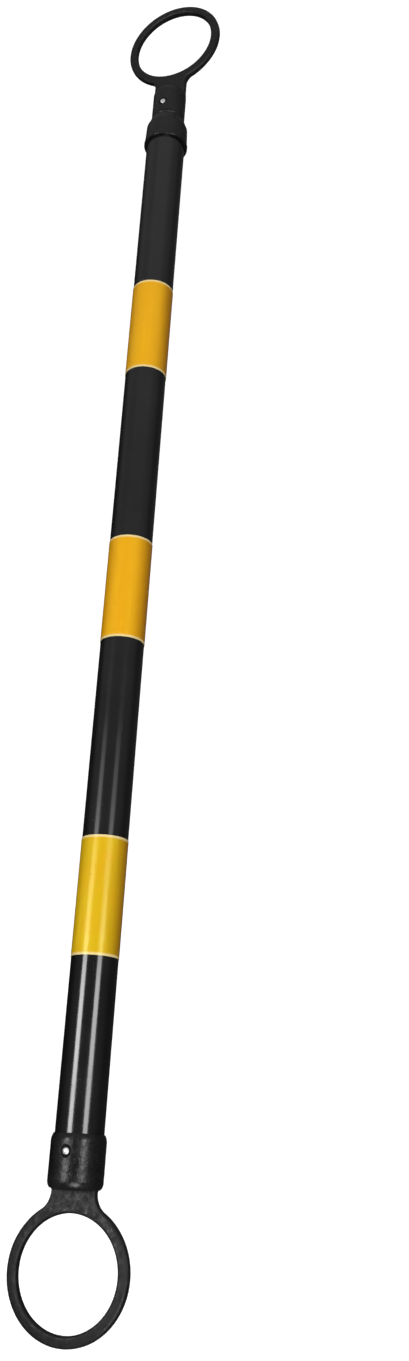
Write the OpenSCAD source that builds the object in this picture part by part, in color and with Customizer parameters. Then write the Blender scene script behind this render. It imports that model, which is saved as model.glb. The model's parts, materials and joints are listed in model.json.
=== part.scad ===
// Retractable cone bar: two telescoping tubes that span two traffic cones,
// with a moulded ring at each end that drops over a cone's top.
// X runs along the tubes, Z up through the ring bores, origin in the middle
// of the fixed ring's bore. The bar is drawn fully closed. Millimetres.

/* [Tubes] */
// Outside diameter of the outer tube
tube_od = 36; // [35.6:0.1:36.2]
// Wall thickness of the outer tube
tube_wall = 1.8; // [1.6:0.1:1.8]
// Length of the outer tube
tube_len = 948; // [900:1:1400]
// Outside diameter of the inner tube
inner_od = 27; // [26.6:0.1:27.2]
// Wall thickness of the inner tube
inner_wall = 1.5; // [1.3:0.1:1.5]
// Travel of the inner tube from closed to fully extended
travel = 800; // [500:1:805]

/* [Ring ends] */
// Diameter of the hole that drops over a cone
ring_bore = 78; // [74:0.5:80]
// Width of the ring's section, across the bore
ring_width = 8.4; // [8:0.1:9]
// Thickness of the ring and its neck, along the bore
ring_thick = 6.6; // [6:0.1:7]
// Rounding of the ring's edges
ring_round = 1.6; // [1:0.1:2]
// Radius where the fixed ring's neck runs out into the ring
fixed_fillet = 15; // [12:0.5:18]
// Radius where the sliding ring's neck runs out into the ring
slide_fillet = 10; // [8:0.5:14]
// Ring centre to the near end of the fixed ring's socket
fixed_neck = 55; // [54:0.5:57]
// Width of the fixed ring's neck
fixed_neck_w = 34.6; // [33:0.2:35]
// Diameter of the fixed ring's socket
fixed_socket_od = 40.4; // [40:0.1:41]
// Length of the fixed ring's socket
fixed_socket_len = 38; // [36:0.5:42]
// Ring centre to the near end of the sliding ring's socket
slide_neck = 62.5; // [58:0.5:66]
// Width of the sliding ring's neck
slide_neck_w = 31.2; // [30:0.2:31.4]
// Diameter of the sliding ring's socket
slide_socket_od = 31.4; // [31:0.1:32]
// Length of the sliding ring's socket
slide_socket_len = 33.65; // [30:0.05:38]
// Thickness of the closed end of each socket
socket_floor = 4; // [3:0.5:5]

/* [Rivets] */
// Diameter of a rivet's head
rivet_head = 5; // [4.6:0.1:5.4]
// Diameter of a rivet's shank
rivet_shank = 2.4; // [2.2:0.1:2.6]
// Diameter of the pocket that a rivet's head sits in
rivet_pocket = 8.6; // [8:0.1:9]

/* [Mouth collar] */
// Diameter of the collar at its skirt's rim
collar_rim = 41.2; // [40.8:0.1:42]
// Diameter of the collar at its shoulder
collar_shoulder = 38.8; // [38.4:0.1:39]
// Diameter of the collar's end face
collar_nose = 31; // [30:0.1:32]
// Bore of the collar and the mouth bush round the inner tube
mouth_bore = 28; // [27.8:0.1:28.2]
// Length of the bush inside the mouth of the outer tube
mouth_bush_len = 62; // [40:1:80]

/* [Reflective bands] */
// Width of each band
band_w = 91.3; // [80:0.1:100]
// Distance from one band to the next
band_pitch = 255.6; // [200:0.1:270]
// Ring centre to the start of the first band
band_start = 217.7; // [180:0.1:240]
// Thickness of the tape on the outer tube
band_t = 0.25; // [0.2:0.05:0.4]
// Thickness of the tape on the inner tube
inner_band_t = 0.2; // [0.15:0.05:0.2]

/* [Hidden] */

$fn = 96;
eps = 0.01;

black = [0.13, 0.13, 0.14];
ring_black = [0.16, 0.16, 0.17];
yellow = [0.95, 0.68, 0.10];
alloy = [0.80, 0.81, 0.83];
steel = [0.55, 0.56, 0.58];
acetal = [0.88, 0.87, 0.83];
rubber = [0.07, 0.07, 0.07];

tube_r = tube_od / 2;
tube_in = tube_r - tube_wall;
inner_r = inner_od / 2;
inner_in = inner_r - inner_wall;
ring_in = ring_bore / 2;
ring_out = ring_in + ring_width;
ring_mid = (ring_in + ring_out) / 2;

// stations along X
fixed_mouth = fixed_neck + fixed_socket_len;
tube_x0 = fixed_neck + socket_floor;
tube_x1 = tube_x0 + tube_len;
collar_x0 = tube_x1 - 22;
collar_x1 = tube_x1 + 9;
slide_mouth = collar_x1 + 0.35;
slide_floor = slide_mouth + slide_socket_len;
slide_x = slide_floor + slide_neck;
bush_x0 = tube_x1 - mouth_bush_len;
tail_x1 = bush_x0 - 0.35 - travel;      // end of the tail bush that meets the mouth bush
tail_x0 = tail_x1 - 37.3;
spigot_x0 = tail_x0 - 0.35;             // end of the journal, where the washer sits
inner_x0 = tail_x1 + 0.35 + 3;          // the spigot's flange is 3 thick
inner_x1 = slide_floor - socket_floor;
fixed_rivet_x = 80;
slide_rivet_x = slide_mouth + 13;

// fits
push = 0.04;    // push fit on the radius, between pieces that stay together
run = 0.08;     // running fit on the radius

// ---- shared shapes ----

module along_x(x) translate([x, 0, 0]) rotate([0, 90, 0]) children();

module rod(x0, x1, r) along_x(x0) cylinder(h = x1 - x0, r = r);

module taper(x0, x1, r0, r1) along_x(x0) cylinder(h = x1 - x0, r1 = r0, r2 = r1);

module pipe(x0, x1, r_in, r_out)
    along_x(x0) difference() {
        cylinder(h = x1 - x0, r = r_out);
        translate([0, 0, -1]) cylinder(h = x1 - x0 + 2, r = r_in);
    }

// a ring's rounded section, turned about the bore's axis
module ring_body()
    rotate_extrude()
        translate([ring_in, -ring_thick / 2]) {
            r = ring_round;
            translate([r, 0]) square([ring_width - 2 * r, ring_thick]);
            translate([0, r]) square([ring_width, ring_thick - 2 * r]);
            for (x = [r, ring_width - r], z = [r, ring_thick - r])
                translate([x, z]) circle(r = r, $fn = 32);
        }

// plan of the neck between a ring and its socket, inset all round by d
module neck_plan(w, length, fillet, d = 0) {
    h = w / 2 - d;
    f = fillet + d;
    ro = ring_out - d;
    fx = sqrt(pow(ro + f, 2) - pow(h + f, 2));
    tx = fx * ro / (ro + f);
    ty = (h + f) * ro / (ro + f);
    difference() {
        union() {
            translate([tx - 9, -ty]) square([fx - tx + 9, 2 * ty]);
            translate([fx - eps, -h]) square([max(length - fx, 0) + eps, 2 * h]);
        }
        for (s = [-1, 1]) translate([fx, s * (h + f)]) circle(r = f);
        circle(r = ring_mid);
    }
}

module neck(w, length, fillet) {
    c = 0.6;
    translate([0, 0, -ring_thick / 2 + c]) linear_extrude(ring_thick - 2 * c) neck_plan(w, length, fillet);
    translate([0, 0, -ring_thick / 2]) linear_extrude(ring_thick) neck_plan(w, length, fillet, c);
}

// ring, neck and socket in one moulding; the socket opens towards +X
module ring_end(neck_len, neck_w, fillet, socket_od, socket_len, hole_r, rivet_at, chamfer, lip) {
    sr = socket_od / 2;
    mouth = neck_len + socket_len;
    difference() {
        union() {
            ring_body();
            neck(neck_w, neck_len + 3, fillet);
            taper(neck_len, neck_len + chamfer, sr - chamfer * 0.6, sr);
            rod(neck_len + chamfer, mouth - lip, sr);
            taper(mouth - lip, mouth, sr, sr - lip * 0.5);
        }
        rod(neck_len + socket_floor, mouth + 1, hole_r);
        taper(mouth - 0.8, mouth + eps, hole_r, hole_r + 0.5);
        translate([rivet_at, 0, 0]) {
            cylinder(h = sr + 2, d = rivet_shank + 0.1);
            translate([0, 0, sr - 0.8]) cylinder(h = 3, d = rivet_pocket);
        }
    }
}

// blind rivet set from outside along -Z: a domed head, a hollow shank, and the bulb
// that its mandrel leaves behind the wall
module rivet(x, seat, behind) {
    shank = rivet_shank / 2;
    bore = 0.75;
    translate([x, 0, 0]) rotate_extrude()
        polygon([
            [bore, behind - 2.2], [shank + 0.2, behind - 2.2], [shank + 0.75, behind - 1.5],
            [shank + 0.75, behind - 0.7], [shank, behind - 0.2],
            [shank, seat], [rivet_head / 2, seat], [rivet_head / 2, seat + 0.25],
            [rivet_head / 2 - 0.35, seat + 0.6], [rivet_head / 2 - 1.0, seat + 0.85],
            [bore + 0.25, seat + 0.95], [bore, seat + 0.85]
        ]);
}

// what stays of the mandrel: a broken stem and its round head
module mandrel(x, seat, behind) {
    translate([x, 0, 0]) {
        translate([0, 0, behind - 2.3]) cylinder(h = seat + 0.7 - (behind - 2.3), r = 0.72);
        translate([0, 0, behind - 3.8]) cylinder(h = 1.55, r = 1.25);
    }
}

module band(x0, r, t) pipe(x0, x0 + band_w, r, r + t);

// ---- pieces on the outer tube ----

module outer_tube() color(black)
    difference() {
        pipe(tube_x0, tube_x1, tube_in, tube_r);
        translate([fixed_rivet_x, 0, 0]) cylinder(h = tube_r + 2, d = rivet_shank + 0.1);
    }

module fixed_ring() color(ring_black)
    ring_end(fixed_neck, fixed_neck_w, fixed_fillet, fixed_socket_od, fixed_socket_len,
             tube_r + push, fixed_rivet_x, 3, 3.5);

module fixed_ring_rivet() color(alloy)
    rivet(fixed_rivet_x, fixed_socket_od / 2 - 0.8, tube_in - 0.1);

module fixed_ring_rivet_mandrel() color(steel)
    mandrel(fixed_rivet_x, fixed_socket_od / 2 - 0.8, tube_in - 0.1);

// skirt over the tube's end, sloped shoulder, and the hole the inner tube comes out of
module mouth_collar() color(ring_black)
    along_x(0) rotate_extrude() polygon([
        [tube_r + push, collar_x0], [collar_rim / 2 - 0.8, collar_x0],
        [collar_rim / 2, collar_x0 + 1], [collar_rim / 2, collar_x0 + 3.2],
        [collar_rim / 2 - 0.5, collar_x0 + 4], [collar_shoulder / 2 + 0.4, collar_x0 + 11],
        [collar_shoulder / 2, tube_x1 - 0.5], [collar_shoulder / 2 - 0.8, tube_x1 + 1.2],
        [collar_nose / 2 + 0.4, collar_x1 - 0.8], [collar_nose / 2 - 0.2, collar_x1],
        [mouth_bore / 2 + 0.4, collar_x1], [mouth_bore / 2, collar_x1 - 0.4],
        [mouth_bore / 2, tube_x1 + 2], [tube_r + push, tube_x1 + 2]
    ]);

// bush pushed into the tube's mouth; its flange is held under the collar
module mouth_bush() color(acetal)
    along_x(0) rotate_extrude() polygon([
        [mouth_bore / 2, bush_x0], [tube_in - push, bush_x0], [tube_in - push, tube_x1 + eps],
        [tube_r - 0.2, tube_x1 + eps], [tube_r - 0.2, tube_x1 + 1.95], [mouth_bore / 2, tube_x1 + 1.95]
    ]);

module ring_side_band() color(yellow) band(band_start, tube_r, band_t);
module middle_band() color(yellow) band(band_start + band_pitch, tube_r, band_t);
module mouth_side_band() color(yellow) band(band_start + 2 * band_pitch, tube_r, band_t);

// ---- pieces on the inner tube ----

module inner_tube() color(black)
    difference() {
        pipe(inner_x0, inner_x1, inner_in, inner_r);
        translate([slide_rivet_x, 0, 0]) cylinder(h = inner_r + 2, d = rivet_shank + 0.1);
    }

module sliding_ring() color(ring_black)
    translate([slide_x, 0, 0]) mirror([1, 0, 0])
        ring_end(slide_neck, slide_neck_w, slide_fillet, slide_socket_od, slide_socket_len,
                 inner_r + push, slide_x - slide_rivet_x, 3, 1);

module sliding_ring_rivet() color(alloy)
    rivet(slide_rivet_x, slide_socket_od / 2 - 0.8, inner_in - 0.15);

module sliding_ring_rivet_mandrel() color(steel)
    mandrel(slide_rivet_x, slide_socket_od / 2 - 0.8, inner_in - 0.15);

module inner_ring_side_band() color(yellow)
    band(slide_mouth - 60 - band_w, inner_r, inner_band_t);
module inner_middle_band() color(yellow)
    band(slide_mouth - 60 - band_w - band_pitch, inner_r, inner_band_t);
module inner_tail_band() color(yellow)
    band(slide_mouth - 60 - band_w - 2 * band_pitch, inner_r, inner_band_t);

// plug in the inner tube's tail, with the journal that the tail bush turns on
module tail_spigot() color(acetal)
    along_x(0) rotate_extrude() polygon([
        [1.6, spigot_x0], [8.6, spigot_x0], [9, spigot_x0 + 0.4], [9, inner_x0 - 3],
        [inner_r - 0.2, inner_x0 - 3], [inner_r - 0.2, inner_x0], [inner_in - push, inner_x0],
        [inner_in - push, inner_x0 + 23], [inner_in - 1, inner_x0 + 24], [0, inner_x0 + 24],
        [0, spigot_x0 + 22], [1.6, spigot_x0 + 20]
    ]);

// keeps the bush on the journal
module tail_washer() color(steel) pipe(spigot_x0 - 1.2, spigot_x0, 2.1, 12);

module tail_screw() color(steel)
    along_x(0) rotate_extrude() polygon([
        [0, spigot_x0 - 3.2], [2.6, spigot_x0 - 3.2], [3.6, spigot_x0 - 2.6], [3.8, spigot_x0 - 1.2],
        [1.58, spigot_x0 - 1.2], [1.58, spigot_x0 + 14], [0.6, spigot_x0 + 16], [0, spigot_x0 + 16]
    ]);

// ---- pieces that slide inside the outer tube ----

groove_w = 3.6;
groove_x = [tail_x0 + 9, tail_x1 - 9];

module tail_bush() color(acetal)
    difference() {
        union() {
            taper(tail_x0, tail_x0 + 1, tube_in - run - 0.6, tube_in - run);
            rod(tail_x0 + 1, tail_x1 - 1, tube_in - run);
            taper(tail_x1 - 1, tail_x1, tube_in - run, tube_in - run - 0.6);
        }
        rod(tail_x0 - 1, tail_x1 + 1, 9 + run);
        for (x = groove_x) pipe(x - groove_w / 2, x + groove_w / 2, 12.85, tube_in + 1);
    }

module friction_rings() color(rubber)
    for (x = groove_x)
        along_x(x) rotate_extrude() translate([14.48, 0]) circle(r = 1.6, $fn = 32);

outer_tube();
fixed_ring();
fixed_ring_rivet();
fixed_ring_rivet_mandrel();
mouth_collar();
mouth_bush();
ring_side_band();
middle_band();
mouth_side_band();
inner_tube();
sliding_ring();
sliding_ring_rivet();
sliding_ring_rivet_mandrel();
inner_tail_band();
inner_middle_band();
inner_ring_side_band();
tail_spigot();
tail_washer();
tail_screw();
tail_bush();
friction_rings();
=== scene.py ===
import json
import math

import bpy
import numpy as np
from mathutils import Matrix, Vector


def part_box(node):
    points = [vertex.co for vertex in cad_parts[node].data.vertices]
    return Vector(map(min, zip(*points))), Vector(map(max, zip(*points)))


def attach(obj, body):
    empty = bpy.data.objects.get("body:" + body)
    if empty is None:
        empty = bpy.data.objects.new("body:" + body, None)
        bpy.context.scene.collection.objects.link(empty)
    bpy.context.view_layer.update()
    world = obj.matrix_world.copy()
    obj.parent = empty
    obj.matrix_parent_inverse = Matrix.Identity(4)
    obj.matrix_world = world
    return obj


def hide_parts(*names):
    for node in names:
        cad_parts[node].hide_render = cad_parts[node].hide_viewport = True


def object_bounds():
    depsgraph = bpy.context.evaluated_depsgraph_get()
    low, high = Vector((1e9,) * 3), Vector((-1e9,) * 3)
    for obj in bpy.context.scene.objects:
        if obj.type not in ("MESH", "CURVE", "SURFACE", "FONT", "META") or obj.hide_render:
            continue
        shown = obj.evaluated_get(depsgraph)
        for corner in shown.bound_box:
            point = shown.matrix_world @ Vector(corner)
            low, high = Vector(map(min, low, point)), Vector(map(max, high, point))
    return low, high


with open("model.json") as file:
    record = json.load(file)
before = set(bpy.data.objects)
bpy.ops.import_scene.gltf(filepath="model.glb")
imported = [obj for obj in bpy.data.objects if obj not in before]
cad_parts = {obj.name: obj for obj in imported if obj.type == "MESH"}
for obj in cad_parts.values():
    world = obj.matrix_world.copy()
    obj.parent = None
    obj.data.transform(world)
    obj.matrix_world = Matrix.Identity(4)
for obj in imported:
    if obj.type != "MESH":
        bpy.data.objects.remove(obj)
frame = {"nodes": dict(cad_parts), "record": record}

CAD_LO, CAD_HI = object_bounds()
REC = frame["record"]
NODES = frame["nodes"]
MM = 0.001
scene = bpy.context.scene
scene.view_settings.view_transform = "Standard"
scene.view_settings.look = "None"
scene.view_settings.exposure = 0.0
scene.view_settings.gamma = 1.0


# ------------------------------------------------------------------ positions from the frame

def bx(node):
    """A CAD node's box in millimetres: low corner, high corner."""
    lo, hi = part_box(node)
    return np.array(lo) / MM, np.array(hi) / MM


MOUNT = {m["name"]: m for m in REC["mounts"]}
RING_IN = MOUNT["fixed_ring_bore"]["dims"]["r_mm"]
SLIDE_X = MOUNT["sliding_ring_bore"]["pos_m"][0] / MM
FR_LO, FR_HI = bx("fixed_ring")
SR_LO, SR_HI = bx("sliding_ring")
TUBE_LO, TUBE_HI = bx("outer_tube")
IN_LO, IN_HI = bx("inner_tube")
COL_LO, COL_HI = bx("mouth_collar")
RING_OUT = FR_HI[1]
RING_T = -2 * MOUNT["fixed_ring_underside"]["pos_m"][2] / MM
TUBE_R = TUBE_HI[1]
INNER_R = IN_HI[1]
RV1_LO, RV1_HI = bx("fixed_ring_rivet")
RV2_LO, RV2_HI = bx("sliding_ring_rivet")


# ------------------------------------------------------------------ mesh helpers

def new_object(name, verts, faces, smooth=True, normals=None):
    """verts in millimetres, in the row frame."""
    me = bpy.data.meshes.new(name)
    verts = np.asarray(verts, float) * MM
    me.from_pydata(verts.tolist(), [], faces)
    me.polygons.foreach_set("use_smooth", [smooth] * len(me.polygons))
    me.validate()
    me.update()
    if normals is not None:
        me.normals_split_custom_set_from_vertices(normals.tolist())
    ob = bpy.data.objects.new(name, me)
    scene.collection.objects.link(ob)
    return ob


def quads_object(name, verts, quads, normals=None):
    """The same for a large array of quads."""
    me = bpy.data.meshes.new(name)
    n, q = len(verts), len(quads)
    me.vertices.add(n)
    me.vertices.foreach_set("co", (np.asarray(verts, float) * MM).astype(np.float32).ravel())
    me.loops.add(q * 4)
    me.loops.foreach_set("vertex_index", np.asarray(quads, np.int32).ravel())
    me.polygons.add(q)
    me.polygons.foreach_set("loop_start", np.arange(0, q * 4, 4, dtype=np.int32))
    me.polygons.foreach_set("loop_total", np.full(q, 4, np.int32))
    me.update(calc_edges=True)
    me.polygons.foreach_set("use_smooth", np.ones(q, bool))
    me.validate()
    me.update()
    if normals is not None:
        me.normals_split_custom_set_from_vertices(np.asarray(normals, float).tolist())
    ob = bpy.data.objects.new(name, me)
    scene.collection.objects.link(ob)
    return ob


def attribute(ob, name, values):
    a = ob.data.attributes.new(name, "FLOAT", "POINT")
    a.data.foreach_set("value", np.asarray(values, np.float32))


def fillet(points, steps=5):
    """points: (r, x, radius) corners of a closed outline. Returns the outline with its corners rounded."""
    out = []
    n = len(points)
    for i in range(n):
        p = np.array(points[i][:2], float)
        rad = points[i][2] if len(points[i]) > 2 else 0
        if rad <= 0:
            out.append(tuple(p))
            continue
        a = np.array(points[i - 1][:2], float) - p
        b = np.array(points[(i + 1) % n][:2], float) - p
        la, lb = np.linalg.norm(a), np.linalg.norm(b)
        a, b = a / la, b / lb
        ang = math.acos(max(-1, min(1, float(a @ b))))
        if ang > math.pi - 0.02:
            out.append(tuple(p))
            continue
        t = min(rad / math.tan(ang / 2), 0.45 * la, 0.45 * lb)
        r = t * math.tan(ang / 2)
        c = p + (a + b) / np.linalg.norm(a + b) * (r / math.sin(ang / 2))
        u, v = p + a * t - c, p + b * t - c
        a0, a1 = math.atan2(u[1], u[0]), math.atan2(v[1], v[0])
        d = (a1 - a0 + math.pi) % (2 * math.pi) - math.pi
        for k in range(steps + 1):
            q = a0 + d * k / steps
            out.append((c[0] + r * math.cos(q), c[1] + r * math.sin(q)))
    return out


def held(outline, near=0.35, over=2.0):
    """Adds a point close to both ends of each long straight run, so that the shading of a rounded edge stays at it."""
    out = []
    n = len(outline)
    for i in range(n):
        a, b = np.array(outline[i], float), np.array(outline[(i + 1) % n], float)
        out.append(tuple(a))
        d = np.linalg.norm(b - a)
        if d > over:
            out.append(tuple(a + (b - a) * near / d))
            out.append(tuple(b - (b - a) * near / d))
    return out


def lathe(name, outline, axis="x", segs=160, centre=(0, 0, 0), sharp=34):
    """A closed outline of (r, along) in millimetres turned about an axis. Points at r = 0 become poles."""
    outline = held([tuple(p) for p in outline])
    rows, verts = [], []
    cx, cy, cz = centre

    def place(r, h, t):
        if axis == "x":
            return (cx + h, cy + r * math.cos(t), cz + r * math.sin(t))
        return (cx + r * math.cos(t), cy + r * math.sin(t), cz + h)

    for r, h in outline:
        if r < 1e-6:
            rows.append([len(verts)])
            verts.append(place(0, h, 0))
        else:
            rows.append(list(range(len(verts), len(verts) + segs)))
            verts += [place(r, h, 2 * math.pi * k / segs) for k in range(segs)]
    faces = []
    m = len(rows)
    for i in range(m):
        a, b = rows[i], rows[(i + 1) % m]
        if len(a) == 1 and len(b) == 1:
            continue
        for k in range(segs):
            l = (k + 1) % segs
            if len(a) == 1:
                faces.append((a[0], b[l], b[k]))
            elif len(b) == 1:
                faces.append((a[k], a[l], b[0]))
            else:
                faces.append((a[k], a[l], b[l], b[k]))
    ob = new_object(name, verts, faces)
    me = ob.data
    import bmesh
    bm = bmesh.new()
    bm.from_mesh(me)
    bmesh.ops.recalc_face_normals(bm, faces=bm.faces)
    lim = math.radians(sharp)
    for e in bm.edges:
        if len(e.link_faces) == 2 and e.calc_face_angle(0) > lim:
            e.smooth = False
    bm.to_mesh(me)
    bm.free()
    return ob


# ---- implicit surfaces: a field on a grid, its zero surface as quads, then pulled onto the true surface

def surface_of(field, lo, hi, h, relax=2):
    lo, hi = np.array(lo, float), np.array(hi, float)
    n = np.ceil((hi - lo) / h).astype(int) + 1
    ax = [lo[k] + h * np.arange(n[k]) for k in range(3)]
    X, Y, Z = np.meshgrid(*ax, indexing="ij", sparse=True)
    F = field(X, Y, Z).astype(np.float32)
    F[F == 0] = 1e-6
    S = F < 0
    t = S.astype(np.int8)
    tot = sum(t[i:n[0] - 1 + i, j:n[1] - 1 + j, k:n[2] - 1 + k] for i in (0, 1) for j in (0, 1) for k in (0, 1))
    act = (tot > 0) & (tot < 8)
    cells = np.argwhere(act)
    index = np.full(act.shape, -1, np.int64)
    index[act] = np.arange(len(cells))
    acc, cnt = np.zeros((len(cells), 3)), np.zeros(len(cells))
    corners = [(i, j, k) for i in (0, 1) for j in (0, 1) for k in (0, 1)]
    for a in corners:
        for axis in range(3):
            if a[axis]:
                continue
            b = list(a)
            b[axis] = 1
            fa = F[cells[:, 0] + a[0], cells[:, 1] + a[1], cells[:, 2] + a[2]]
            fb = F[cells[:, 0] + b[0], cells[:, 1] + b[1], cells[:, 2] + b[2]]
            m = (fa < 0) != (fb < 0)
            w = fa[m] / (fa[m] - fb[m])
            p = np.tile(np.array(a, float), (m.sum(), 1))
            p[:, axis] += w
            acc[m] += p
            cnt[m] += 1
    V = lo + (cells + acc / cnt[:, None]) * h
    quads = []
    for axis in range(3):
        u, v = (axis + 1) % 3, (axis + 2) % 3
        sl0, sl1 = [slice(None)] * 3, [slice(None)] * 3
        sl0[axis], sl1[axis] = slice(0, -1), slice(1, None)
        for q in (u, v):
            sl0[q] = sl1[q] = slice(1, -1)
        s0, s1 = S[tuple(sl0)], S[tuple(sl1)]
        e = np.argwhere(s0 != s1)
        inside = s0[tuple(e.T)]
        base = e.copy()
        base[:, u] += 1
        base[:, v] += 1

        def cell(du, dv):
            c = base.copy()
            c[:, u] += du
            c[:, v] += dv
            return index[tuple(c.T)]

        q = np.stack([cell(-1, -1), cell(0, -1), cell(0, 0), cell(-1, 0)], 1)
        q[~inside] = q[~inside][:, ::-1]
        quads.append(q)
    Q = np.concatenate(quads)

    def grad(P, d=0.02):
        g = np.empty_like(P)
        for k in range(3):
            s = np.zeros(3)
            s[k] = d
            A, B = P + s, P - s
            g[:, k] = (field(A[:, 0], A[:, 1], A[:, 2]) - field(B[:, 0], B[:, 1], B[:, 2])) / (2 * d)
        return g

    def pull(P, times):
        for _ in range(times):
            f = field(P[:, 0], P[:, 1], P[:, 2])
            g = grad(P)
            step = f[:, None] * g / np.maximum((g * g).sum(1), 0.05)[:, None]
            ln = np.linalg.norm(step, axis=1, keepdims=True)
            P = P - step * np.minimum(1, 0.4 * h / np.maximum(ln, 1e-9))
        return P

    V = pull(V, 4)
    E = np.concatenate([Q[:, [0, 1]], Q[:, [1, 2]], Q[:, [2, 3]], Q[:, [3, 0]]])
    E = np.unique(np.sort(E, 1), axis=0)
    deg = np.bincount(E.ravel(), minlength=len(V)).astype(float)
    for _ in range(relax):
        s = np.zeros_like(V)
        for k in range(3):
            s[:, k] = np.bincount(E[:, 0], V[E[:, 1], k], len(V)) + np.bincount(E[:, 1], V[E[:, 0], k], len(V))
        V = V + 0.5 * (s / deg[:, None] - V)
        V = pull(V, 3)
    g = grad(V)
    N = g / np.maximum(np.linalg.norm(g, axis=1, keepdims=True), 1e-9)
    d = 0.35
    f0 = field(V[:, 0], V[:, 1], V[:, 2])
    lap = -6 * f0
    for k in range(3):
        s = np.zeros(3)
        s[k] = d
        A, B = V + s, V - s
        lap = lap + field(A[:, 0], A[:, 1], A[:, 2]) + field(B[:, 0], B[:, 1], B[:, 2])
    return V, Q, N, lap / (d * d)


def smax(a, b, k):
    h = np.clip(0.5 + 0.5 * (a - b) / k, 0, 1)
    return b + (a - b) * h + k * h * (1 - h)


def smin(a, b, k):
    return -smax(-a, -b, k)


def ring_end_field(neck, neck_w, fil, sock_r, sock_len, hole_r, rivet_at, seat, cham, lip):
    """Ring, neck and socket as one moulding; ring centre at the origin, socket opening towards +X."""
    ro, ri, ht = RING_OUT - 0.02, RING_IN, RING_T / 2
    mouth = neck + sock_len
    # centre of the arc that joins the ring's outside to the neck's straight side
    yc = neck_w / 2 + fil
    xc = math.sqrt((ro + fil) ** 2 - yc * yc)

    def field(x, y, z):
        ay = np.abs(y)
        disc = np.sqrt(x * x + y * y) - ro
        qx, qy = np.abs(x - (ri + neck + 8) / 2) - (neck + 8 - ri) / 2, ay - neck_w / 2
        rect = np.sqrt(np.maximum(qx, 0) ** 2 + np.maximum(qy, 0) ** 2) + np.minimum(np.maximum(qx, qy), 0)
        vx, vy = x - xc, ay - yc
        arc = (-xc * vy + yc * vx >= 0) & (x <= xc)
        plan = np.where(arc, fil - np.sqrt(vx * vx + vy * vy), np.minimum(disc, rect))
        plan = np.maximum(plan, ri + 0.02 - np.sqrt(x * x + y * y))
        plan = np.maximum(plan, x - neck - 6.0)
        # the ring's upper face falls away a little towards its outside, and flattens out into the neck
        r2 = np.sqrt(x * x + y * y)
        on_ring = np.clip((48 - x) / 16, 0, 1)
        crown = 0.95 * np.clip((r2 - 41.0) / 6.2, 0, 1) ** 1.4 * on_ring * np.where(z > 0, 1.0, 0.0)
        rnd = 1.2 + 0.9 * on_ring
        a, b = plan + rnd, np.abs(z) - (ht - rnd - crown)
        plate = np.minimum(np.maximum(a, b), 0) + np.sqrt(np.maximum(a, 0) ** 2 + np.maximum(b, 0) ** 2) - rnd
        rho = np.sqrt(y * y + z * z)
        sock = smax(rho - sock_r, x - mouth, 0.7)
        sock = smax(sock, neck - x, 0.9)
        n1 = math.hypot(lip, lip * 0.5)
        sock = smax(sock, ((x - (mouth - lip)) * lip * 0.5 + (rho - sock_r) * lip) / n1, 1.2)
        n2 = math.hypot(cham, cham * 0.6)
        sock = smax(sock, ((neck + cham - x) * cham * 0.6 + (rho - sock_r) * cham) / n2, 1.2)
        f = smin(plate, sock, 1.4)
        hole = np.maximum(rho - hole_r, neck + 4 - x)
        lead = (rho - hole_r - 0.5 + (mouth - x) * 0.62) / 1.18
        hole = np.minimum(hole, lead)
        f = smax(f, -hole, 0.35)
        pd = np.sqrt((x - rivet_at) ** 2 + y * y)
        pocket = smax(pd - 4.3, seat - z, 0.5)
        moat = smax(np.maximum(pd - 4.15, 2.75 - pd), seat - 0.65 - z, 0.3)
        pocket = np.minimum(pocket, moat)
        return smax(f, -pocket, 0.45)

    return field


def ring_end(name, body, neck, neck_w, fil, sock_r, sock_len, hole_r, rivet_at, seat, cham, lip, flip_x=None):
    field = ring_end_field(neck, neck_w, fil, sock_r, sock_len, hole_r, rivet_at, seat, cham, lip)
    pad = 1.0
    h = 0.5
    # the grid is centred on the planes of symmetry
    hy, hz = RING_OUT + pad, max(sock_r, RING_T / 2) + pad
    V, Q, N, lap = surface_of(
        field, (-hy - 0.25 * h, -hy, -hz), (neck + sock_len + pad, hy, hz), h
    )
    if flip_x is not None:
        V[:, 0] = flip_x - V[:, 0]
        N[:, 0] = -N[:, 0]
        Q = Q[:, ::-1]
    ob = quads_object(name, V, Q, N)
    attribute(ob, "edge", np.clip(lap / 0.55, 0, 1))
    # concave curvature, the mask for the painted crease shade
    attribute(ob, "nook", np.clip(-lap / 0.8, 0, 1))
    # outer wall at the parting plane: where the surface stands up along Z
    attribute(ob, "wall", 1 - np.clip(np.abs(N[:, 2]) * 1.6, 0, 1))
    along = V[:, 0] if flip_x is None else flip_x - V[:, 0]
    attribute(ob, "plate", np.clip((neck + 1.0 - along) / 1.5, 0, 1))
    # mask of the ring, used to paint it darker than the neck as shade
    attribute(ob, "band", np.clip((47 - along) / 10, 0, 1))
    # mask of the pocket round the rivet, used for its painted shade and its rougher finish
    pd = np.hypot(along - rivet_at, V[:, 1])
    attribute(ob, "pocket", np.clip((4.75 - pd) / 0.5, 0, 1) * (V[:, 2] > sock_r - 2.5))
    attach(ob, body)
    return ob


# ------------------------------------------------------------------ material helpers

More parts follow.
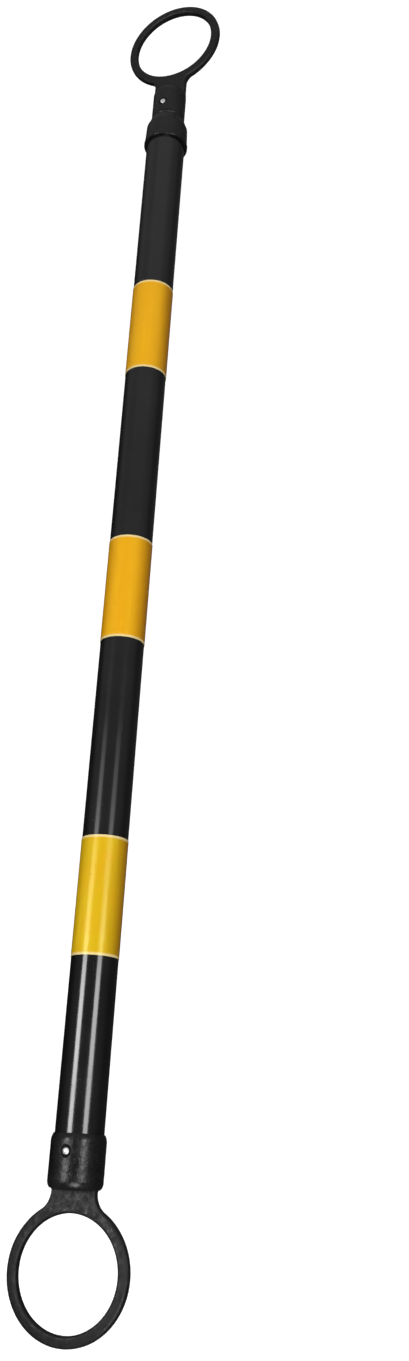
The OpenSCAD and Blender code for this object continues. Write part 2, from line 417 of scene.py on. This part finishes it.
class Mat:
    def __init__(self, name, **sockets):
        self.m = bpy.data.materials.new(name)
        self.m.use_nodes = True
        self.t = self.m.node_tree
        self.p = self.t.nodes["Principled BSDF"]
        for k, v in sockets.items():
            self.p.inputs[k.replace("_", " ")].default_value = v
        self.bump_end = None

    def node(self, kind, **props):
        n = self.t.nodes.new(kind)
        for k, v in props.items():
            setattr(n, k, v)
        return n

    def link(self, a, b):
        self.t.links.new(a, b)

    def coords(self, scale=(1, 1, 1), rot=(0, 0, 0)):
        c = self.node("ShaderNodeTexCoord")
        m = self.node("ShaderNodeMapping")
        m.inputs["Scale"].default_value = scale
        m.inputs["Rotation"].default_value = rot
        self.link(c.outputs["Object"], m.inputs["Vector"])
        return m.outputs["Vector"]

    def noise(self, vec, scale, detail=3.0, rough=0.55, distortion=0.0):
        n = self.node("ShaderNodeTexNoise")
        n.inputs["Scale"].default_value = scale
        n.inputs["Detail"].default_value = detail
        n.inputs["Roughness"].default_value = rough
        n.inputs["Distortion"].default_value = distortion
        self.link(vec, n.inputs["Vector"])
        return n.outputs["Fac"]

    def voronoi(self, vec, scale, feature="F1", randomness=1.0):
        n = self.node("ShaderNodeTexVoronoi", feature=feature)
        n.inputs["Scale"].default_value = scale
        n.inputs["Randomness"].default_value = randomness
        self.link(vec, n.inputs["Vector"])
        return n.outputs["Distance"]

    def ramp(self, src, lo, hi, a=0.0, b=1.0, smooth=True):
        n = self.node("ShaderNodeMapRange")
        n.interpolation_type = "SMOOTHSTEP" if smooth else "LINEAR"
        for k, v in (("From Min", lo), ("From Max", hi), ("To Min", a), ("To Max", b)):
            n.inputs[k].default_value = v
        self.link(src, n.inputs["Value"])
        return n.outputs["Result"]

    def math(self, op, a, b=None):
        n = self.node("ShaderNodeMath", operation=op)
        for i, s in enumerate((a, b)):
            if s is None:
                continue
            if isinstance(s, (int, float)):
                n.inputs[i].default_value = s
            else:
                self.link(s, n.inputs[i])
        return n.outputs[0]

    def attr(self, name):
        n = self.node("ShaderNodeAttribute", attribute_name=name)
        return n.outputs["Fac"]

    def mix(self, fac, a, b):
        n = self.node("ShaderNodeMix", data_type="RGBA")
        if isinstance(fac, (int, float)):
            n.inputs[0].default_value = fac
        else:
            self.link(fac, n.inputs[0])
        for i, c in ((6, a), (7, b)):
            if isinstance(c, tuple):
                n.inputs[i].default_value = (*c, 1)
            else:
                self.link(c, n.inputs[i])
        return n.outputs[2]

    def color(self, src):
        self.link(src, self.p.inputs["Base Color"])

    def rough(self, src):
        self.link(src, self.p.inputs["Roughness"])

    def bump(self, height, strength, distance):
        n = self.node("ShaderNodeBump")
        n.inputs["Strength"].default_value = strength
        n.inputs["Distance"].default_value = distance
        self.link(height, n.inputs["Height"])
        if self.bump_end is not None:
            self.link(self.bump_end, n.inputs["Normal"])
        self.bump_end = n.outputs["Normal"]
        self.link(self.bump_end, self.p.inputs["Normal"])

    def coat_bump(self):
        self.link(self.bump_end, self.p.inputs["Coat Normal"])


def black_tube():
    m = Mat("black_tube", Roughness=0.16, IOR=1.62)
    fine = m.noise(m.coords((6, 900, 900)), 1.0, 4.0, 0.6)          # draw lines of the extrusion
    broad = m.noise(m.coords((5, 60, 60)), 1.0, 2.0)
    patch = m.noise(m.coords((1, 1, 1)), 26.0, 4.0, 0.6)
    dust = m.noise(m.coords((1, 1, 1), (0.4, 0.2, 0.1)), 420.0, 2.0, 0.7)
    scr = m.noise(m.coords((28, 900, 900), (0.0, 0.12, 0.35)), 1.0, 2.0, 0.5, 0.6)
    scratch = m.ramp(scr, 0.70, 0.76)
    specks = m.math("MULTIPLY", m.ramp(dust, 0.62, 0.72), m.ramp(patch, 0.45, 0.7))
    c = m.mix(m.ramp(patch, 0.3, 0.75), (0.0060, 0.0060, 0.0066), (0.0088, 0.0086, 0.0092))
    c = m.mix(m.math("MULTIPLY", specks, 0.18), c, (0.05, 0.048, 0.045))
    c = m.mix(m.math("MULTIPLY", scratch, 0.20), c, (0.045, 0.045, 0.045))
    m.color(c)
    r = m.math("ADD", m.ramp(patch, 0.25, 0.8, 0.13, 0.19), m.math("MULTIPLY", scratch, 0.14))
    r = m.math("ADD", r, m.math("MULTIPLY", specks, 0.10))
    m.rough(r)
    m.bump(fine, 0.10, 0.00004)
    m.bump(broad, 0.10, 0.0003)
    m.bump(m.math("MULTIPLY", scratch, -1.0), 0.25, 0.00003)
    return m.m


def black_moulding(edges=True):
    m = Mat("black_moulding" if edges else "black_moulding_plain", Roughness=0.42, IOR=1.44)
    grain = m.voronoi(m.coords(), 1500.0, "SMOOTH_F1")
    grain2 = m.noise(m.coords(), 900.0, 3.0, 0.6)
    flow = m.noise(m.coords((1, 1, 1)), 55.0, 4.0, 0.55, 0.8)
    dust = m.noise(m.coords((1, 1, 1), (0.3, 0.7, 0.2)), 520.0, 2.0, 0.7)
    c = m.mix(m.ramp(flow, 0.3, 0.72), (0.0070, 0.0070, 0.0074), (0.0118, 0.0116, 0.0120))
    specks = m.math("MULTIPLY", m.ramp(dust, 0.63, 0.72), m.ramp(flow, 0.42, 0.62))
    c = m.mix(m.math("MULTIPLY", specks, 0.20), c, (0.06, 0.058, 0.055))
    r = m.ramp(flow, 0.25, 0.8, 0.18, 0.27)
    mottle = m.noise(m.coords((1, 1, 1), (0.6, 0.2, 0.8)), 330.0, 3.0, 0.6)
    r = m.math("ADD", r, m.ramp(mottle, 0.40, 0.62, 0.0, 0.13))
    if edges:
        edge = m.attr("edge")
        nook = m.attr("nook")
        r = m.math("ADD", r, m.math("MULTIPLY", m.attr("plate"), 0.20))
        blotch = m.noise(m.coords((1, 1, 1), (0.7, 0.1, 0.4)), 270.0, 3.0, 0.6)
        r = m.math("ADD", r, m.math("MULTIPLY", m.attr("plate"), m.ramp(blotch, 0.36, 0.64, -0.10, 0.16)))
        m.bump(m.math("MULTIPLY", blotch, m.attr("plate")), 0.35, 0.0004)
        r = m.math("ADD", r, m.math("MULTIPLY", m.attr("pocket"), 0.55))
        # painted shade: the ring is painted darker than the neck and socket, for the shade its face takes
        c = m.mix(m.math("MULTIPLY", m.attr("band"), 0.7), c, (0.0035, 0.0035, 0.0038))
        wear = m.math("MULTIPLY", m.ramp(edge, 0.45, 0.95), m.ramp(grain2, 0.44, 0.62))
        wear = m.math("MULTIPLY", wear, m.ramp(flow, 0.38, 0.66))
        c = m.mix(m.math("MULTIPLY", wear, 0.5), c, (0.045, 0.045, 0.047))
        # painted shade: creases and inner corners are painted darker, where shade falls
        c = m.mix(m.math("MULTIPLY", nook, 0.6), c, (0.005, 0.005, 0.005))
        r = m.math("ADD", r, m.math("MULTIPLY", wear, 0.10))
        # parting line of the two mould halves, along the middle of the outer walls
        pos = m.node("ShaderNodeSeparateXYZ")
        tc = m.node("ShaderNodeTexCoord")
        m.link(tc.outputs["Object"], pos.inputs[0])
        z = m.math("ABSOLUTE", pos.outputs["Z"])
        line = m.math("MULTIPLY", m.ramp(z, 0.00012, 0.00034, 1.0, 0.0), m.attr("wall"))
        c = m.mix(m.math("MULTIPLY", line, 0.5), c, (0.026, 0.026, 0.027))
        # painted shade: the pocket round the rivet is painted near black, for the shade in the recess
        c = m.mix(m.attr("pocket"), c, (0.0012, 0.0012, 0.0012))
        m.bump(line, 0.6, 0.00018)
    m.color(c)
    m.rough(r)
    m.bump(grain, 0.20, 0.00012)
    m.bump(grain2, 0.60, 0.00016)
    m.bump(m.noise(m.coords((1, 1, 1), (0.2, 0.5, 0.9)), 460.0, 2.0, 0.5), 0.55, 0.00024)
    m.bump(flow, 0.15, 0.0006)
    return m.m


def yellow_tape():
    m = Mat("yellow_tape", Roughness=0.34, IOR=1.50, Specular_Tint=(0.78, 1.0, 0.60, 1.0))
    vec = m.coords()
    bead = m.voronoi(vec, 3600.0)
    streak = m.noise(m.coords((9, 150, 150)), 1.0, 3.0, 0.55)
    wave = m.noise(m.coords((28, 95, 95), (0.1, 0.0, 0.0)), 1.0, 2.0, 0.5)
    patch = m.noise(vec, 42.0, 4.0, 0.6)
    dirt = m.noise(m.coords((1, 1, 1), (0.5, 0.1, 0.3)), 260.0, 3.0, 0.65)
    rim = m.attr("rim")
    c = m.mix(m.ramp(streak, 0.3, 0.7), (0.95, 0.450, 0.004), (0.99, 0.500, 0.006))
    # the strip nearest the fixed ring is painted a yellower tone than the others
    tc = m.node("ShaderNodeTexCoord")
    pos = m.node("ShaderNodeSeparateXYZ")
    m.link(tc.outputs["Object"], pos.inputs[0])
    c = m.mix(m.ramp(pos.outputs["X"], 0.33, 0.35, 1.0, 0.0), c, m.mix(m.ramp(streak, 0.3, 0.7), (0.80, 0.50, 0.006), (0.88, 0.585, 0.012)))
    c = m.mix(m.ramp(patch, 0.35, 0.75, 0.0, 0.4), c, (0.93, 0.41, 0.004))
    c = m.mix(m.ramp(bead, 0.0, 0.6, 0.10, 0.0), c, (0.92, 0.60, 0.05))
    grime = m.math("MULTIPLY", m.ramp(dirt, 0.58, 0.75), m.ramp(patch, 0.4, 0.7))
    c = m.mix(m.math("MULTIPLY", grime, 0.28), c, (0.34, 0.17, 0.02))
    # painted shade: the tape is painted browner and darker towards its underside, for the shade on the flanks turned
    # away from the light
    low = m.math("ADD", pos.outputs["Z"], m.math("MULTIPLY", m.math("SUBTRACT", patch, 0.5), 0.006))
    c = m.mix(m.ramp(low, -0.001, 0.0145, 0.62, 0.0), c, (0.46, 0.150, 0.002))
    c = m.mix(rim, c, (1.0, 0.78, 0.34))
    m.color(c)
    m.rough(m.ramp(patch, 0.2, 0.8, 0.20, 0.28))
    m.bump(bead, 0.05, 0.00004)
    m.bump(wave, 0.45, 0.0006)
    m.bump(streak, 0.12, 0.0002)
    return m.m


def metal(name, colour, rough, lines):
    m = Mat(name, Metallic=1.0)
    a = m.noise(m.coords(lines), 1.0, 3.0, 0.6)
    b = m.noise(m.coords(), 900.0, 3.0, 0.6)
    dark = tuple(x * 0.72 for x in colour)
    m.color(m.mix(m.ramp(b, 0.35, 0.8, 0.0, 0.5), colour, dark))
    m.rough(m.ramp(a, 0.25, 0.8, rough * 0.75, rough * 1.35))
    m.bump(a, 0.05, 0.00003)
    m.bump(b, 0.05, 0.00003)
    return m.m


def acetal():
    m = Mat("white_acetal", Roughness=0.35, IOR=1.48)
    turn = m.noise(m.coords((1800, 12, 12)), 1.0, 3.0, 0.6)
    patch = m.noise(m.coords(), 60.0, 4.0, 0.6)
    c = m.mix(m.ramp(patch, 0.3, 0.75), (0.74, 0.73, 0.68), (0.66, 0.65, 0.59))
    grease = m.ramp(m.noise(m.coords(), 130.0, 3.0, 0.6), 0.6, 0.8)
    m.color(m.mix(m.math("MULTIPLY", grease, 0.35), c, (0.36, 0.34, 0.29)))
    m.rough(m.ramp(patch, 0.2, 0.8, 0.28, 0.46))
    m.bump(turn, 0.15, 0.00005)
    return m.m


def rubber():
    m = Mat("black_rubber", Roughness=0.6, IOR=1.5)
    g = m.noise(m.coords(), 1400.0, 3.0, 0.6)
    p = m.noise(m.coords(), 120.0, 3.0, 0.6)
    m.color(m.mix(m.ramp(p, 0.3, 0.75), (0.010, 0.010, 0.010), (0.024, 0.023, 0.022)))
    m.rough(m.ramp(g, 0.2, 0.8, 0.5, 0.72))
    m.bump(g, 0.25, 0.00008)
    return m.m


M_TUBE = black_tube()
M_MOULD = black_moulding(True)
M_COLLAR = black_moulding(False)
M_TAPE = yellow_tape()
M_ALU = metal("rivet_aluminium", (0.94, 0.945, 0.95), 0.50, (500, 500, 500))
M_ZINC = metal("zinc_steel", (0.74, 0.745, 0.76), 0.42, (500, 60, 500))
M_ACETAL = acetal()
M_RUBBER = rubber()


def finish_piece(ob, mat, slot, body=None, *nodes):
    ob.data.materials.clear()
    ob.data.materials.append(mat)
    if body:
        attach(ob, body)
    if nodes:
        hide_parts(*nodes)
    return ob


# ------------------------------------------------------------------ ring ends

FIX_NECK, FIX_LEN = 55.0, FR_HI[0] - 55.0
ob = ring_end(
    "fixed_ring_moulding", "outer", FIX_NECK, 34.6, 15.0, FR_HI[2] - 0.01, FIX_LEN, TUBE_R + 0.06,
    (RV1_LO[0] + RV1_HI[0]) / 2, FR_HI[2] - 0.8, 3.0, 3.5,
)
finish_piece(ob, M_MOULD, "black_moulding", None, "fixed_ring")

SL_NECK = 62.5
SL_LEN = (SLIDE_X - SR_LO[0]) - SL_NECK
ob = ring_end(
    "sliding_ring_moulding", "inner", SL_NECK, 31.2, 10.0, SR_HI[2] - 0.01, SL_LEN, INNER_R + 0.06,
    SLIDE_X - (RV2_LO[0] + RV2_HI[0]) / 2, SR_HI[2] - 0.8, 3.0, 1.0, flip_x=SLIDE_X,
)
finish_piece(ob, M_MOULD, "black_moulding", None, "sliding_ring")


# ------------------------------------------------------------------ tubes

def tube(name, node, body):
    lo, hi = bx(node)
    r1 = hi[1]
    r0 = r1 - (1.8 if node == "outer_tube" else 1.5)
    pts = fillet([(r0, lo[0], 0.3), (r1, lo[0], 0.4), (r1, hi[0], 0.4), (r0, hi[0], 0.3)], 3)
    ob = lathe(name, pts, "x", 192)
    finish_piece(ob, M_TUBE, "black_tube", body, node)


tube("outer_tube_extrusion", "outer_tube", "outer")
tube("inner_tube_extrusion", "inner_tube", "inner")


# ------------------------------------------------------------------ collar

x0, x1 = COL_LO[0], COL_HI[0]
rim, sh, nose, bore = COL_HI[1], 19.4, 15.5, 14.0
tube_end = TUBE_HI[0]
pts = fillet([
    (TUBE_R + 0.05, x0, 0.25), (rim - 0.35, x0, 0.6), (rim, x0 + 0.9, 0.8), (rim, x0 + 3.1, 0.7),
    (rim - 0.52, x0 + 4.0, 0.8), (sh + 0.4, x0 + 11, 12.0), (sh, tube_end - 0.6, 1.6), (sh - 0.9, tube_end + 1.3, 2.2),
    (nose + 0.55, x1 - 1.0, 1.6), (nose - 0.2, x1, 0.5), (bore + 0.35, x1, 0.25), (bore, x1 - 0.6, 0.3),
    (bore, tube_end + 2.0, 0), (TUBE_R + 0.05, tube_end + 2.0, 0),
], 5)
ob = lathe("mouth_collar_moulding", pts, "x", 192)
finish_piece(ob, M_COLLAR, "black_moulding", "outer", "mouth_collar")


# ------------------------------------------------------------------ reflective tape, wound once with a lap

def tape(name, node, body, t, start_deg):
    lo, hi = bx(node)
    x0, x1 = lo[0], hi[0]
    r = hi[1] - t
    lap = math.radians(24 if body == "outer" else 30)
    a0 = math.radians(start_deg)
    n = 176
    stations = [a0 + (2 * math.pi + lap) * k / n for k in range(n + 1)]
    c = 0.3 * t
    fine = [0.7, 1.3, 1.8, 2.4]
    nx = 34
    xs = [x0] + [x0 + v for v in fine] + [x0 + 4 + (x1 - x0 - 8) * k / nx for k in range(nx + 1)]
    xs += [x1 - v for v in reversed(fine)] + [x1]
    loop = [(x0 + c, 0.0)] + [(x, 0.0) for x in xs[1:-1]] + [(x1 - c, 0.0), (x1, c), (x1, t - c), (x1 - c, t)]
    loop += [(x, t) for x in xs[-2:0:-1]] + [(x0 + c, t), (x0, t - c), (x0, c)]
    m = len(loop)
    rng = np.random.default_rng(len(name) * 7 + 3)
    ph = rng.uniform(0, 6.28, 6)
    verts, rimv = [], []
    for a in stations:
        over = (a - a0) - 2 * math.pi
        e = min(1.0, max(0.0, (over + 0.10) / 0.10))
        lift = (t + 0.02) * e * e * (3 - 2 * e)
        for x, h in loop:
            w = 0.012 * (math.sin(x * 0.31 + 2 * a + ph[0]) + math.sin(x * 0.17 - 3 * a + ph[1])) if h > 0.5 * t else 0.0
            tail = 0.03 * max(0.0, over) / lap if h > 0.5 * t else 0.0
            rr = r + 0.012 + h + lift + w * 0.6 - tail
            verts.append((x, rr * math.cos(a), rr * math.sin(a)))
            d = min(x - x0, x1 - x)
            e = min(1.0, max(0.0, (2.4 - d) / 1.2))
            rimv.append(e * e * (3 - 2 * e))
    faces = []
    for i in range(n):
        for j in range(m):
            k = (j + 1) % m
            a, b = i * m, (i + 1) * m
            faces.append((a + j, a + k, b + k, b + j))
    faces.append(tuple(range(m - 1, -1, -1)))
    faces.append(tuple(n * m + j for j in range(m)))
    ob = new_object(name, verts, faces)
    import bmesh
    bm = bmesh.new()
    bm.from_mesh(ob.data)
    bmesh.ops.recalc_face_normals(bm, faces=bm.faces)
    for ed in bm.edges:
        if len(ed.link_faces) == 2 and ed.calc_face_angle(0) > math.radians(40):
            ed.smooth = False
    bm.to_mesh(ob.data)
    bm.free()
    attribute(ob, "rim", rimv)
    finish_piece(ob, M_TAPE, "yellow_tape", body, node)


for name, node in (("ring_side_tape", "ring_side_band"), ("middle_tape", "middle_band"), ("mouth_side_tape", "mouth_side_band")):
    tape(name, node, "outer", 0.25, 250)
for name, node in (("inner_tail_tape", "inner_tail_band"), ("inner_middle_tape", "inner_middle_band"), ("inner_ring_side_tape", "inner_ring_side_band")):
    tape(name, node, "inner", 0.2, 250)


# ------------------------------------------------------------------ rivets

def rivet(name, node, body):
    lo, hi = bx(node)
    cx = (lo[0] + hi[0]) / 2
    top, low = hi[2], lo[2]
    head = (hi[0] - lo[0]) / 2
    seat = top - 0.95
    shank, bore = 1.2, 0.76
    pts = [(bore, low, 0.1), (shank + 0.2, low, 0.3), (shank + 0.75, low + 0.7, 0.5), (shank + 0.75, low + 1.5, 0.4),
           (shank, low + 2.0, 0.2), (shank, seat, 0)]
    pts += [(head - 0.12, seat, 0.12), (head, seat + 0.2, 0.18)]
    dome = [(head - 0.14, seat + 0.42), (head - 0.42, seat + 0.60), (head - 0.85, seat + 0.76), (head - 1.3, seat + 0.88)]
    pts += [(r, z, 0.4) for r, z in dome] + [(bore + 0.22, seat + 0.94, 0.15), (bore, seat + 0.80, 0.1)]
    ob = lathe(name, fillet(pts, 3), "z", 72, (cx, 0, 0), 40)
    finish_piece(ob, M_ALU, "rivet_aluminium", body, node)


rivet("fixed_ring_rivet_body", "fixed_ring_rivet", "outer")
rivet("sliding_ring_rivet_body", "sliding_ring_rivet", "inner")


# ------------------------------------------------------------------ CAD nodes that stay, with finished materials

KEEP = {
    "fixed_ring_rivet_mandrel": M_ZINC, "sliding_ring_rivet_mandrel": M_ZINC, "mouth_bush": M_ACETAL,
    "tail_spigot": M_ACETAL, "tail_washer": M_ZINC, "tail_screw": M_ZINC, "tail_bush": M_ACETAL,
    "friction_rings": M_RUBBER,
}
for n, mat in KEEP.items():
    o = NODES[n]
    o.data.materials.clear()
    o.data.materials.append(mat)


# ------------------------------------------------------------------ stage, light, camera

# clear of the sliding ring at every angle of its swivel
floor_z = -(RING_OUT + 1.0) * MM
# plain pale floor that sweeps up into a wall all round, far from the object
rows = [0.5, 2.0, 4.0, 6.0]
prof = [(r, 0.0) for r in rows] + [(6.0 + 3.0 * math.sin(math.radians(a)), 3.0 - 3.0 * math.cos(math.radians(a))) for a in range(9, 91, 9)] + [(9.0, 7.0), (7.0, 10.0), (0.6, 10.5)]
seg = 96
cx0 = (CAD_LO[0] + CAD_HI[0]) / 2
fv = [(cx0, 0.0, floor_z)]
for r, h in prof:
    fv += [(cx0 + r * math.cos(2 * math.pi * k / seg), r * math.sin(2 * math.pi * k / seg), floor_z + h) for k in range(seg)]
ff = [(0, 1 + k, 1 + (k + 1) % seg) for k in range(seg)]
for i in range(len(prof) - 1):
    p, q = 1 + i * seg, 1 + (i + 1) * seg
    ff += [(p + k, q + k, q + (k + 1) % seg, p + (k + 1) % seg) for k in range(seg)]
me = bpy.data.meshes.new("floor")
me.from_pydata(fv, [], ff)
me.polygons.foreach_set("use_smooth", [True] * len(me.polygons))
me.update()
floor = bpy.data.objects.new("floor", me)
scene.collection.objects.link(floor)
fm = Mat("floor_paper", Roughness=0.9)
g = fm.noise(fm.coords(), 18.0, 3.0, 0.5)
fm.color(fm.mix(fm.ramp(g, 0.3, 0.7), (0.42, 0.42, 0.42), (0.40, 0.40, 0.40)))
fm.p.inputs["Emission Color"].default_value = (1, 1, 1, 1)
fm.p.inputs["Emission Strength"].default_value = 0.86
floor.data.materials.append(fm.m)
floor.visible_glossy = False
floor.visible_diffuse = False
floor.visible_shadow = False

# studio surroundings: pale above and on the right, dark low on the left, brighter towards the far end
world = bpy.data.worlds.new("studio")
scene.world = world
world.use_nodes = True
wt = world.node_tree
bg = wt.nodes["Background"]


def wnode(kind, **props):
    n = wt.nodes.new(kind)
    for k, v in props.items():
        setattr(n, k, v)
    return n


def wramp(src, lo, hi, a, b):
    n = wnode("ShaderNodeMapRange", interpolation_type="SMOOTHSTEP")
    for k, v in (("From Min", lo), ("From Max", hi), ("To Min", a), ("To Max", b)):
        n.inputs[k].default_value = v
    wt.links.new(src, n.inputs["Value"])
    return n.outputs["Result"]


wd = wnode("ShaderNodeTexCoord").outputs["Generated"]
dot = wnode("ShaderNodeVectorMath", operation="DOT_PRODUCT")
wt.links.new(wd, dot.inputs[0])
dot.inputs[1].default_value = (0.0, 0.87, -0.50)
wx = wnode("ShaderNodeSeparateXYZ")
wt.links.new(wd, wx.inputs[0])


def wmath(op, a, b):
    n = wnode("ShaderNodeMath", operation=op)
    wt.links.new(a, n.inputs[0])
    wt.links.new(b, n.inputs[1])
    return n.outputs[0]


side = wramp(dot.outputs["Value"], 0.45, 0.88, 0.23, 0.03)
low = wramp(wx.outputs["Z"], -0.55, 0.10, 0.30, 1.0)
side = wmath("MULTIPLY", side, wramp(wx.outputs["X"], 0.0, 0.42, 0.50, 1.0))
far = wmath("MULTIPLY", wramp(wx.outputs["X"], 0.30, 0.75, 0.0, 0.22), wramp(wx.outputs["Z"], 0.05, 0.55, 0.0, 1.0))
far = wmath("MULTIPLY", far, wramp(wx.outputs["Y"], 0.05, 0.45, 1.0, 0.25))
add = wmath("ADD", wmath("MULTIPLY", side, low), far)
bg.inputs["Color"].default_value = (1.0, 1.0, 1.0, 1)
wt.links.new(add, bg.inputs["Strength"])


def softbox(name, direction_deg, dist, x_from, x_to, width, radiance, spread=180.0):
    """A long softbox parallel to the bar. direction_deg is from straight up, towards -Y."""
    a = math.radians(direction_deg)
    d = Vector((0, -math.sin(a), math.cos(a)))
    L = bpy.data.lights.new(name, "AREA")
    L.shape = "RECTANGLE"
    L.size, L.size_y = x_to - x_from, width
    L.energy = radiance * math.pi * L.size * L.size_y
    L.spread = math.radians(spread)
    o = bpy.data.objects.new(name, L)
    scene.collection.objects.link(o)
    o.location = Vector(((x_from + x_to) / 2, 0, 0)) + d * dist
    z = d
    x = Vector((1, 0, 0))
    y = z.cross(x)
    o.rotation_mode = "QUATERNION"
    o.rotation_quaternion = Matrix((x, y, z)).transposed().to_quaternion()
    return o


for hand, ang, rad in (("left", -22.0, 11.0), ("right", 50.0, 8.2)):
    softbox("softbox_" + hand + "_near", ang, 2.5, -0.02, 0.11, 0.88, rad * 0.85)
    softbox("softbox_" + hand, ang, 2.5, 0.11, 0.60, 0.88, rad)
    softbox("softbox_" + hand + "_fade", ang, 2.5, 0.60, 0.88, 0.88, rad * 0.42).visible_diffuse = False
    softbox("softbox_" + hand + "_end", ang, 2.5, 0.88, 1.16, 0.88, rad * 0.12).visible_diffuse = False


def area_at(name, loc, target, size, radiance):
    L = bpy.data.lights.new(name, "AREA")
    L.shape = "SQUARE"
    L.size = size
    L.energy = radiance * math.pi * size * size
    o = bpy.data.objects.new(name, L)
    scene.collection.objects.link(o)
    o.location = loc
    o.rotation_mode = "QUATERNION"
    o.rotation_quaternion = (Vector(loc) - Vector(target)).to_track_quat("Z", "Y")
    return o


area_at("fill", (-1.6, -1.1, 2.3), (0.5, 0, 0), 1.5, 7.5)

cam = bpy.data.cameras.new("camera")
cam.sensor_fit = "AUTO"
cam.sensor_width = 36.0
cam.lens = 35.343
cam.clip_start, cam.clip_end = 0.02, 50.0
camera = bpy.data.objects.new("camera", cam)
scene.collection.objects.link(camera)
right = Vector((0.05894916, -0.93247085, -0.35640302))
up = Vector((0.93446266, -0.07404142, 0.34827778))
back = Vector((-0.35114746, -0.35357599, 0.86699451))
rot = Matrix((right, up, back)).transposed()
camera.matrix_world = Matrix.Translation((0.06490205, -0.44849790, 0.91549812)) @ rot.to_4x4() @ Matrix.Rotation(0.00040, 4, "Y")
scene.camera = camera
